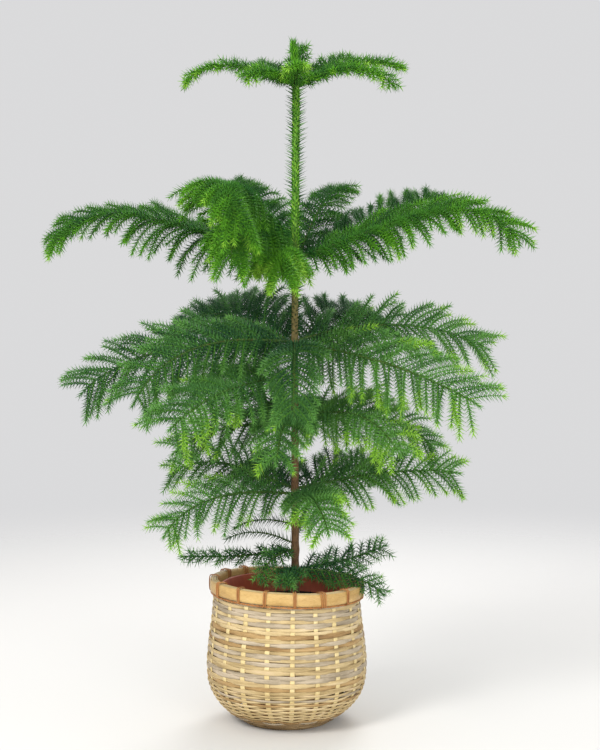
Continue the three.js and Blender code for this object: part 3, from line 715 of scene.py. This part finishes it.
def make_pot():
    """A thin moulded pot with a rounded foot and a rolled lip."""
    foot, floor = POT_FOOT_RADIUS, POT_FLOOR_Z
    neck, lip = POT_TOP_RADIUS, POT_TOP_RADIUS + POT_LIP_PROUD
    profile = [
        (0, floor), (foot - 3, floor), (foot - 0.8, floor + 0.8), (foot, floor + 3),
        (neck - 1.2, POT_LIP - 1), (neck - 0.6, POT_LIP - 0.2), (lip - 0.6, POT_LIP), (lip, POT_LIP + 0.8),
        (lip + 0.3, POT_TOP - 1.4), (lip - 0.3, POT_TOP - 0.3), (neck + 0.6, POT_TOP),
        (neck - 0.7, POT_TOP - 0.4), (neck - 1.2, POT_TOP - 1.6), (neck - POT_NECK - POT_WALL, POT_LIP),
        (foot - POT_WALL, floor + POT_WALL + 1), (foot - POT_WALL - 2, floor + POT_WALL),
        (0, floor + POT_WALL)]
    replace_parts(turned("nursery_pot_shell", profile, POT_SEGMENTS, PLASTIC), "nursery_pot")


def soil_edge(height):
    slope = (POT_TOP_RADIUS - POT_NECK - POT_FOOT_RADIUS) / (POT_LIP - POT_FLOOR_Z)
    return POT_FOOT_RADIUS - POT_WALL - SOIL_CLEAR + slope * (height - POT_FLOOR_Z - POT_WALL)


def make_soil(chance):
    """A bed that fills the pot, uneven on top but even at its edge and at the trunk."""
    angle = full_turn(SOIL_TURNS)
    ring = np.arange(SOIL_RINGS)[:, None]
    shape = (SOIL_RINGS, SOIL_TURNS)
    relief = 2.0 * smooth_noise(shape, 3, chance) + 1.3 * smooth_noise(shape, 1, chance)
    relief *= np.minimum(1, ring / 4) * np.minimum(1, (SOIL_RINGS - 1 - ring) / 3 + 0.3)
    radius = np.linspace(0.012, 1, SOIL_RINGS)[:, None] * soil_edge(SOIL_TOP)
    top = ring_points(np.tile(angle, (SOIL_RINGS, 1)), radius, SOIL_TOP - 0.4 + relief).reshape(-1, 3)
    low = POT_FLOOR_Z + POT_WALL + GAP
    base = ring_points(angle, soil_edge(low), low)
    verts = np.concatenate([top, base, [[0, 0, SOIL_TOP], [0, 0, low]]])
    rim, centre = np.arange(SOIL_TURNS), len(top) + len(base)
    faces = np.concatenate([in_triangles(grid_faces(SOIL_RINGS + 1, SOIL_TURNS)), fan(centre, rim),
                            fan(centre + 1, len(top) + rim)[:, FLIPPED]])
    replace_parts(add_mesh("potting_soil_bed", verts, faces, SOIL), "potting_soil")


def make_crumbs(chance):
    """Crumbs of bark and soil that lie on the bed, each an uneven octahedron."""
    shape = np.array([(1, 0, 0), (-1, 0, 0), (0, 1, 0), (0, -1, 0), (0, 0, 1), (0, 0, -1)], dtype=float)
    sides = np.array([(0, 2, 4), (2, 1, 4), (1, 3, 4), (3, 0, 4), (2, 0, 5), (1, 2, 5), (3, 1, 5), (0, 3, 5)])
    verts = []
    for _ in range(CRUMBS):
        spread = math.sqrt(chance.random()) * (soil_edge(SOIL_TOP) - CRUMB_MARGIN)
        turn = TURN * chance.random()
        size = (1.0 + 2.2 * chance.random() ** 3) * (0.6 + 0.8 * chance.random(3))
        spin = TURN * chance.random()
        c, s = math.cos(spin), math.sin(spin)
        x, y, z = (shape * size * (0.8 + 0.4 * chance.random((6, 1)))).T
        crumb = np.stack([x * c - y * s, x * s + y * c, 0.7 * z], -1)
        verts.append(crumb + [spread * math.cos(turn), spread * math.sin(turn), SOIL_TOP + 0.5])
    faces = sides + len(shape) * np.arange(CRUMBS)[:, None, None]
    add_mesh("potting_soil_crumbs", np.concatenate(verts), faces.reshape(-1, 3), SOIL)


make_pot()
soil_chance = np.random.default_rng(5)
make_soil(soil_chance)
make_crumbs(soil_chance)


# Trunk

TRUNK_ROWS, TRUNK_SIDES = 420, 26
# how far the mesh is sunk in the soil, and how much closer its rows stand at the foot
TRUNK_SUNK, TRUNK_CROWDING = 1.2, 1.08
# how rough the bark is by height
BARK_AGES = [(180, 1), (520, 0.9), (640, 0.55), (700, 0.25)]
FLAKE, KNOT = 0.42, 0.3
TIER_SWELL, SWELL_HEIGHT = 0.9, 7.0
ROOT_HEIGHT = 9.0
TIP_ROUND = 0.8
trunk_line = catmull(TRUNK_BENDS, 60)


def trunk_axis(height):
    return lookup(height, trunk_line[:, 2], trunk_line)


def trunk_radius(height):
    height = np.asarray(height, dtype=float)
    share = (height - TRUNK_FOOT) / (TRUNK_TIP - TRUNK_FOOT)
    taper = TRUNK_FOOT_RADIUS + (TRUNK_TOP_RADIUS - TRUNK_FOOT_RADIUS) * share
    bud = np.minimum(1, BUD_POINT + (1 - BUD_POINT) * (TRUNK_TIP - height) / BUD_HEIGHT)
    return taper * bud + FLARE * np.exp(-(height - TRUNK_FOOT) / FLARE_HEIGHT)


def make_trunk():
    chance = np.random.default_rng(11)
    shape = (TRUNK_ROWS, TRUNK_SIDES)
    foot = TRUNK_FOOT - TRUNK_SUNK
    heights = foot + (TRUNK_TIP - foot) * np.linspace(0, 1, TRUNK_ROWS) ** TRUNK_CROWDING
    flakes, knots = smooth_noise(shape, 2, chance), smooth_noise(shape, 6, chance)
    rough = np.interp(heights, *zip(*BARK_AGES))[:, None]
    size = trunk_radius(np.maximum(heights, TRUNK_FOOT))[:, None] + rough * (FLAKE * flakes + KNOT * knots)
    # swollen rings where a tier of boughs leaves the trunk
    for tier in TIERS:
        size += TIER_SWELL * np.exp(-((heights[:, None] - tier.height) / SWELL_HEIGHT) ** 2)
    # fluted roots at the flare
    turn = full_turn(TRUNK_SIDES)
    flutes = 1.4 * np.sin(4 * turn + 0.7) + 0.7 * np.sin(7 * turn)
    size += np.exp(-(heights - TRUNK_FOOT) / ROOT_HEIGHT)[:, None] * flutes
    rings = (trunk_axis(heights)[:, None, :] + size[..., None] * radial(turn)).reshape(-1, 3)
    verts = np.concatenate([rings, trunk_axis([heights[0], heights[-1] + TIP_ROUND])])
    ring = np.arange(TRUNK_SIDES)
    faces = np.concatenate([
        in_triangles(grid_faces(*shape)[:, [0, 3, 2, 1]]), fan(len(rings), ring)[:, FLIPPED],
        fan(len(rings) + 1, len(rings) - TRUNK_SIDES + ring)])
    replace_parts(add_mesh("trunk_bark", verts, faces, BARK), "trunk")


make_trunk()


# Boughs, twigs and needles

PIECE_LIMIT = 190000
NEEDLE, NEEDLE_WIDTH = 11.6, 1.55
WHORL, WHORL_PITCH = 4, 2.9
TIP_FROM = 0.86
# how late the tint rises to the tips' young green and painted glow
FRESHENING_AND_GLOW = 1.5
LIMB_SIDES, LIMB_TIP, LIMB_RELIEF = 8, 0.34, 0.16
SWING_BEND = 1.5
SAG_BEND = 1.3
# length of the sprays along a bough: their share at the trunk, how fast it grows, where it is full, where it
# fades to the outer share, and how it ends at the tip
INNER_SHARE, INNER_GAIN, INNER_END = 0.62, 1.27, 0.3
FADE_FROM, FADE_RUN = 0.38, 0.34
TAPER_END, TIP_TAPER = 1.05, 0.14
SPRAY_FROM, SPRAY_RUN = 0.05, 0.9
SPRAY_ROOT, SHORTEST_SPRAY, HEAVY_SPRAY = 18.0, 9.0, 90.0
SPRAY_CLOSING = 11
STANDING, HANGING = 0.65, 0.5
# the azimuth of the light, and the room in degrees that sprays have round the trunk
LIGHT = 265
WIDE, SLACK = 80.0, 60.0
SHORTENINGS = (1, 0.8, 0.62, 0.46, 0.3)
TWIG_RADIUS, TWIG_TIP = 1.15, 0.45
SHADE = 1.3


class Needles:
    """Collects needles as awls: three points round the foot, sunk in the twig, and a tip."""

    FACES = np.array([(2, 1, 0), (0, 1, 3), (1, 2, 3), (2, 0, 3)])

    def __init__(self):
        self.verts = []

    def add(self, foot, along, outward, length, width, lean):
        """lean is the angle off the twig in radians."""
        chord = toward(along, outward, lean)
        side = unit(np.cross(along, outward))
        over = unit(np.cross(chord, side))
        half = (0.5 * width)[:, None]
        ring = [foot + half * toward(side, over, math.radians(angle)) for angle in (30, 150, 270)]
        self.verts.append(np.stack([*ring, foot + chord * length[:, None]], 1))

    def make(self, name, material, slot):
        verts = np.concatenate(self.verts)
        made = []
        chunks = math.ceil(len(verts) * len(self.FACES) / PIECE_LIMIT)
        for k, chunk in enumerate(np.array_split(verts, chunks)):
            faces = (np.arange(len(chunk))[:, None, None] * chunk.shape[1] + self.FACES).reshape(-1, 3)
            made.append(add_mesh(f"{name}_{k + 1}", chunk.reshape(-1, 3), faces, material))
        return made


needle_sets = [Needles() for _ in TINTS]
limbs, twigs = Batch(), Batch()


def by_tint(tints):
    """The needle sets that are used, each with the mask of the needles that take its tint."""
    return [(needles, tints == k) for k, needles in enumerate(needle_sets) if (tints == k).any()]


def frames_along(points):
    """Tangent, side and over vectors along a line of points."""
    ahead = unit(np.gradient(points, axis=0))
    side = np.cross(UP, ahead)
    side = unit(np.where(np.linalg.norm(side, axis=1, keepdims=True) < TINY, [1.0, 0, 0], side))
    return ahead, side, np.cross(ahead, side)


def along_line(points, share):
    """Point, tangent, side and over at shares of a line's points."""
    index, grid = np.asarray(share) * (len(points) - 1), np.arange(len(points))
    directions = [unit(lookup(index, grid, table)) for table in frames_along(points)]
    return lookup(index, grid, points), *directions


def tones(first, rise, spread, begin=0.0, palette=WARM):
    """A rule that gives needles the index of their tint, fresher and lighter towards the tip of a twig:
    new growth, and partly painted light for the glow of light through the needles.
    """
    def tint(share, generator):
        value = first + rise * np.clip((share - begin) / (1 - begin), 0, 1) ** FRESHENING_AND_GLOW
        value = value + jitter(generator, spread, len(share))
        return np.array(palette)[np.clip(np.round(value), 0, len(palette) - 1).astype(int)]
    return tint


def clothe(points, normal, length, lean, tint, generator, pitch=WHORL_PITCH):
    """Needles along a twig in crossed whorls, each whorl turned half a step from the last."""
    total = np.linalg.norm(np.diff(points, axis=0), axis=1).sum()
    whorls = max(2, round(total / pitch))
    count = WHORL * whorls
    node, row = np.divmod(np.arange(count), WHORL)
    share = np.minimum(1, (node + 0.7 + jitter(generator, 0.2, count)) / whorls)
    at, ahead = along_line(points, share)[:2]
    comb = unit(np.cross(normal, ahead))
    over = np.cross(ahead, comb)
    turn = TURN / WHORL * (row + 0.5 * (node % 2)) + jitter(generator, 0.3, count)
    outward = toward(comb, over, turn)
    # towards the tip the needles grow shorter and close up into a point
    tip = np.clip((share - TIP_FROM) / (1 - TIP_FROM), 0, 1)
    lengths = length * (1 + jitter(generator, 0.16, count)) * (1 - 0.2 * tip)
    leans = math.radians(lean) * (1 + jitter(generator, 0.12, count)) * (1 - 0.55 * tip)
    for needles, chosen in by_tint(tint(share, generator)):
        widths = NEEDLE_WIDTH * (1 + jitter(generator, 0.2, chosen.sum()))
        needles.add(at[chosen], ahead[chosen], outward[chosen], lengths[chosen], widths, leans[chosen])


def spray_share(share, outer):
    """How long the sprays are, as a share of the longest, from the trunk to a bough's tip."""
    if share < INNER_END:
        return INNER_SHARE + INNER_GAIN * share
    fade = min(1.0, max(0.0, (share - FADE_FROM) / FADE_RUN))
    fade = fade * fade * (3 - 2 * fade)
    return (1 - (1 - outer) * fade) * min(1.0, (TAPER_END - share) / TIP_TAPER)


def bough_line(height, azimuth, length, rise, droop, bend, swing=0.0, steps=64):
    """Points from the trunk out along a bough that bends over and swings round as it goes."""
    share = (np.arange(steps) + 0.5) / steps
    angle = np.radians(rise + (droop - rise) * share ** bend)
    out = radial(np.radians(azimuth + swing * share ** SWING_BEND))
    step = toward(out, UP, angle) * length / steps
    start = trunk_axis(height) + ring_points(math.radians(azimuth), float(trunk_radius(height)) - 0.5, 0.0)
    return np.concatenate([[start], start + np.cumsum(step, axis=0)])


def spray_line(at, first, lift, sag, curl, reach, steps=7):
    """Points along a spray that lifts a little, then sags under its own weight and curls aside."""
    share = ((np.arange(steps) + 0.5) / steps)[:, None]
    heading = unit(first + (lift * (1 - share) - sag * share ** SAG_BEND) * UP + share * curl)
    return np.concatenate([[at], at + np.cumsum(heading * reach / steps, axis=0)])


def sector(azimuth, others):
    """Room in degrees to the left and right of a bough, half way to its neighbours in the tier."""
    gaps = [(other - azimuth) % 360 for other in others if other != azimuth]
    if not gaps:
        return WIDE, WIDE
    return min(WIDE, min(gaps) / 2), min(WIDE, (360 - max(gaps)) / 2)


def in_sector(tip, tier, bough, room_left, room_right):
    """Whether a spray's tip keeps to its bough's room round the trunk."""
    away = tip - trunk_axis(tier.height)
    round_trunk = (math.degrees(math.atan2(away[1], away[0])) - bough.azimuth + 180) % 360 - 180
    return -room_right - SLACK < round_trunk < room_left + SLACK


def grow_spray(tier, bough, line, share, hand, lean, room, palette, grow):
    """One spray at a share of a bough's length, on its left or right hand."""
    at, along, across, above = (v[0] for v in along_line(line, np.array([share])))
    roll = math.radians(tier.turn) * lean
    across, above = toward(across, above, roll), toward(above, -across, roll)
    opening = math.radians(tier.opening - SPRAY_CLOSING * share + jitter(grow, 20))
    longest = (SPRAY_ROOT + tier.spread * bough.length) * spray_share(share, tier.outer)
    longest *= 0.84 + 0.26 * grow.random()
    first = unit(toward(along, hand * across, opening) + jitter(grow, 0.4) * above)
    curl = (0.75 * grow.random() - 0.15) * along + jitter(grow, 0.3) * above
    lift = 0.14 + jitter(grow, 0.1)
    fall = tier.sag * (0.35 + 0.65 * min(1.0, longest / HEAVY_SPRAY)) * (1 + jitter(grow, 0.24))
    # sprays on the raised side stand, those on the lowered side hang
    raised = hand * lean * abs(math.cos(math.radians(bough.azimuth)))
    fall *= 1 - (STANDING if raised > 0 else HANGING) * raised
    for shortening in SHORTENINGS:
        reach = longest * shortening
        spray = spray_line(at, first, lift, fall, curl, reach)
        if in_sector(spray[-1], tier, bough, *room):
            break
    if reach < SHORTEST_SPRAY:
        return
    _, side, over = frames_along(spray)
    sweep(twigs, spray, side, over, oval(TWIG_RADIUS, TWIG_RADIUS, 4), np.linspace(1, TWIG_TIP, len(spray)))
    # the spray's tone: the bough's, with its painted light and shade, rising towards the bough's tip
    tone = bough.fresh - SHADE + share + jitter(grow, 1.3)
    tint = tones(tone, rise=1.4, spread=0.5, begin=0.25, palette=palette)
    clothe(spray, above, length=NEEDLE, lean=60, tint=tint, generator=grow)


def grow_bough(tier, bough, room, palette, grow, bark):
    """A limb with its own needles and pairs of sprays, which roll their upper face to the light."""
    line = bough_line(tier.height - bough.drop, bough.azimuth, bough.length, bough.rise, bough.droop,
                      bough.bend, bough.swing)
    line += np.cumsum(jitter(grow, 0.5, line.shape), axis=0)
    _, side, over = frames_along(line)
    taper = np.linspace(1, LIMB_TIP, len(line))[:, None] * (1 + jitter(grow, 0.1, (len(line), 1)))
    relief = 1 + LIMB_RELIEF * smooth_noise((len(line), LIMB_SIDES), 1, bark)
    sweep(limbs, line, side, over, oval(tier.stem, tier.stem, LIMB_SIDES), taper * relief)
    # the limb's own needles take the bough's tone, with its painted light and shade
    tint = tones(bough.fresh - SHADE, rise=1.3, spread=0.9, palette=palette)
    clothe(line, over.mean(axis=0), length=1.08 * NEEDLE, lean=54, tint=tint, generator=grow)
    lean = math.tanh(2 * math.sin(math.radians(bough.azimuth - LIGHT)))
    pairs = max(4, round(SPRAY_RUN * bough.length / tier.pitch))
    for pair in range(pairs):
        for hand in (1, -1):
            share = SPRAY_FROM + SPRAY_RUN * (pair + 0.35 + 0.2 * hand + 0.45 * grow.random()) / pairs
            grow_spray(tier, bough, line, share, hand, lean, room, palette, grow)


def grow_shoot(height, azimuth, length, rise, droop, bend, grow):
    """A thin shoot low on the trunk, with few needles."""
    line = bough_line(height, azimuth, length, rise, droop, bend, steps=20)
    _, side, over = frames_along(line)
    sweep(limbs, line, side, over, oval(1.2, 1.2, 6), np.linspace(1, 0.4, len(line)))
    # the shoots take the darkest tints, painted shade for the shade they grow in under the tiers
    tint = tones(0.6, rise=0.8, spread=0.8)
    clothe(line, over[0], length=1.2 * NEEDLE, lean=64, tint=tint, generator=grow, pitch=3.2)


def trunk_needles(low, high, spacing, length, width, lean, tints, generator):
    """Needles in a spiral up the trunk, in tints picked by chance."""
    count = int((high - low) / spacing)
    heights = low + (high - low) * (np.arange(count) + generator.random(count)) / count
    turn = GOLDEN * np.arange(count) + 0.4 * generator.random(count)
    outward = radial(turn)
    foot = trunk_axis(heights) + outward * (trunk_radius(heights) * NEEDLE_SUNK)[:, None]
    for needles, chosen in by_tint(generator.choice(tints, count)):
        total = chosen.sum()
        needles.add(foot[chosen], upright(total), outward[chosen],
                    length * (1 + jitter(generator, 0.3, total)), width * (1 + jitter(generator, 0.2, total)),
                    math.radians(lean) * (1 + jitter(generator, 0.3, total)))


# A shoot: height, azimuth, length, angle at the trunk, angle at the tip, and how late it bends
SHOOTS = [(257, 184, 97, 26, -30, 1.5), (284, 190, 86, 16, -34, 1.6), (268, 80, 80, 14, -10, 2.0)]
# Needles on the trunk: from and to what height, spacing, length, width, angle off the trunk, and tints. A
# dense bud at the tip, scales and a comb of needles down the green leader, and fewer below.
GOLDEN = math.radians(137.508)
NEEDLE_SUNK = 0.8
LEADER = [
    (932, 969, 0.28, 12.0, 1.9, 24, [2, 3, 3]),
    (668, 934, 0.5, 7.5, 2.6, 22, [2, 3, 3, 4]),
    (672, 934, 0.62, 14.5, 2.0, 66, [1, 2, 2, 3]),
    (556, 672, 0.75, 14.5, 1.9, 76, [0, 0, 1]),
    (450, 556, 4.5, 11.0, 1.1, 60, [0, 1]),
]
BOUGH_SEED, TIER_SEEDS, SHOOT_SEED, LEADER_SEED = 1000, 100, 2000, 404


def grow_plant():
    """Grows all boughs, shoots and needles, and makes their pieces."""
    bark = np.random.default_rng(23)
    for tier_number, tier in enumerate(TIERS):
        palette = WARM if tier.name in YOUNG_TIERS else COOL
        boughs = [Bough(*values) for values in BOUGHS[tier.name]]
        for number, bough in enumerate(boughs):
            grow = np.random.default_rng(BOUGH_SEED + TIER_SEEDS * tier_number + number)
            room = sector(bough.azimuth, [other.azimuth for other in boughs])
            grow_bough(tier, bough, room, palette, grow, bark)
    for number, shoot in enumerate(SHOOTS):
        grow_shoot(*shoot, np.random.default_rng(SHOOT_SEED + number))
    limb_piece = limbs.make("bough_limbs", LIMB, "bough_bark")
    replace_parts(limb_piece, *[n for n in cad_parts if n.endswith("_bough")])
    twigs.make("bough_twigs", TWIG, "bough_bark")
    leader = np.random.default_rng(LEADER_SEED)
    for stretch in LEADER:
        trunk_needles(*stretch, leader)
    pieces = []
    for needles, (name, colour, slot) in zip(needle_sets, TINTS):
        leaf = Surface(name, colour, roughness=0.5, specular=0.15)
        pieces += needles.make(name, leaf.material, slot)
    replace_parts(pieces[0], *[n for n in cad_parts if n.endswith("_foliage")])


grow_plant()


# Floor, light and camera, in metres

FLOOR_HALF = 8.0
FOCAL_PIXELS, IMAGE_HEIGHT = 1550, 750
PITCH_PIXELS = 85
SENSOR = 36
CAMERA_PLACE = (0.019, -2.215, 0.62)


def make_floor():
    mesh = bpy.data.meshes.new("studio_floor")
    low, high = -FLOOR_HALF, FLOOR_HALF
    mesh.from_pydata([(low, low, 0), (high, low, 0), (high, high, 0), (low, high, 0)], [], [(0, 1, 2, 3)])
    mesh.materials.append(floor_material())
    floor = put("studio_floor", mesh)


def make_world():
    world = bpy.data.worlds.new("studio")
    bpy.context.scene.world = world
    world.use_nodes = True
    background = world.node_tree.nodes["Background"]
    background.inputs["Color"].default_value = (0.88, 0.88, 0.89, 1)
    background.inputs["Strength"].default_value = 0.8


def area_light(name, place, target, size, power, colour=(1, 1, 1)):
    lamp = bpy.data.lights.new(name, "AREA")
    lamp.shape = "DISK"
    lamp.size = size
    lamp.energy = power
    lamp.color = colour
    holder = put(name, lamp)
    holder.location = place
    holder.rotation_euler = (Vector(target) - Vector(place)).to_track_quat("-Z", "Y").to_euler()
    holder.visible_camera = False


def make_camera():
    """The photograph's view: its focal length in pixels, and a slight tilt down."""
    camera = bpy.data.cameras.new("camera")
    camera.sensor_fit = "VERTICAL"
    camera.sensor_height = SENSOR
    camera.lens = SENSOR * FOCAL_PIXELS / IMAGE_HEIGHT
    camera.clip_end = 200
    holder = put("camera", camera)
    holder.location = CAMERA_PLACE
    holder.rotation_euler = (math.radians(90) - math.atan(PITCH_PIXELS / FOCAL_PIXELS), 0, 0)
    bpy.context.scene.camera = holder


make_floor()
make_world()
area_light("key", (-1.7, -2.2, 2.3), (0, 0, 0.5), size=1.3, power=75, colour=(1.0, 0.985, 0.96))
area_light("fill", (1.2, -2.9, 0.8), (0, 0, 0.45), size=2.0, power=52, colour=(0.97, 0.985, 1.0))
area_light("back", (0.6, 2.3, 2.4), (0, 0, 0.6), size=1.6, power=42)
make_camera()
bpy.context.scene.view_settings.view_transform = "Standard"
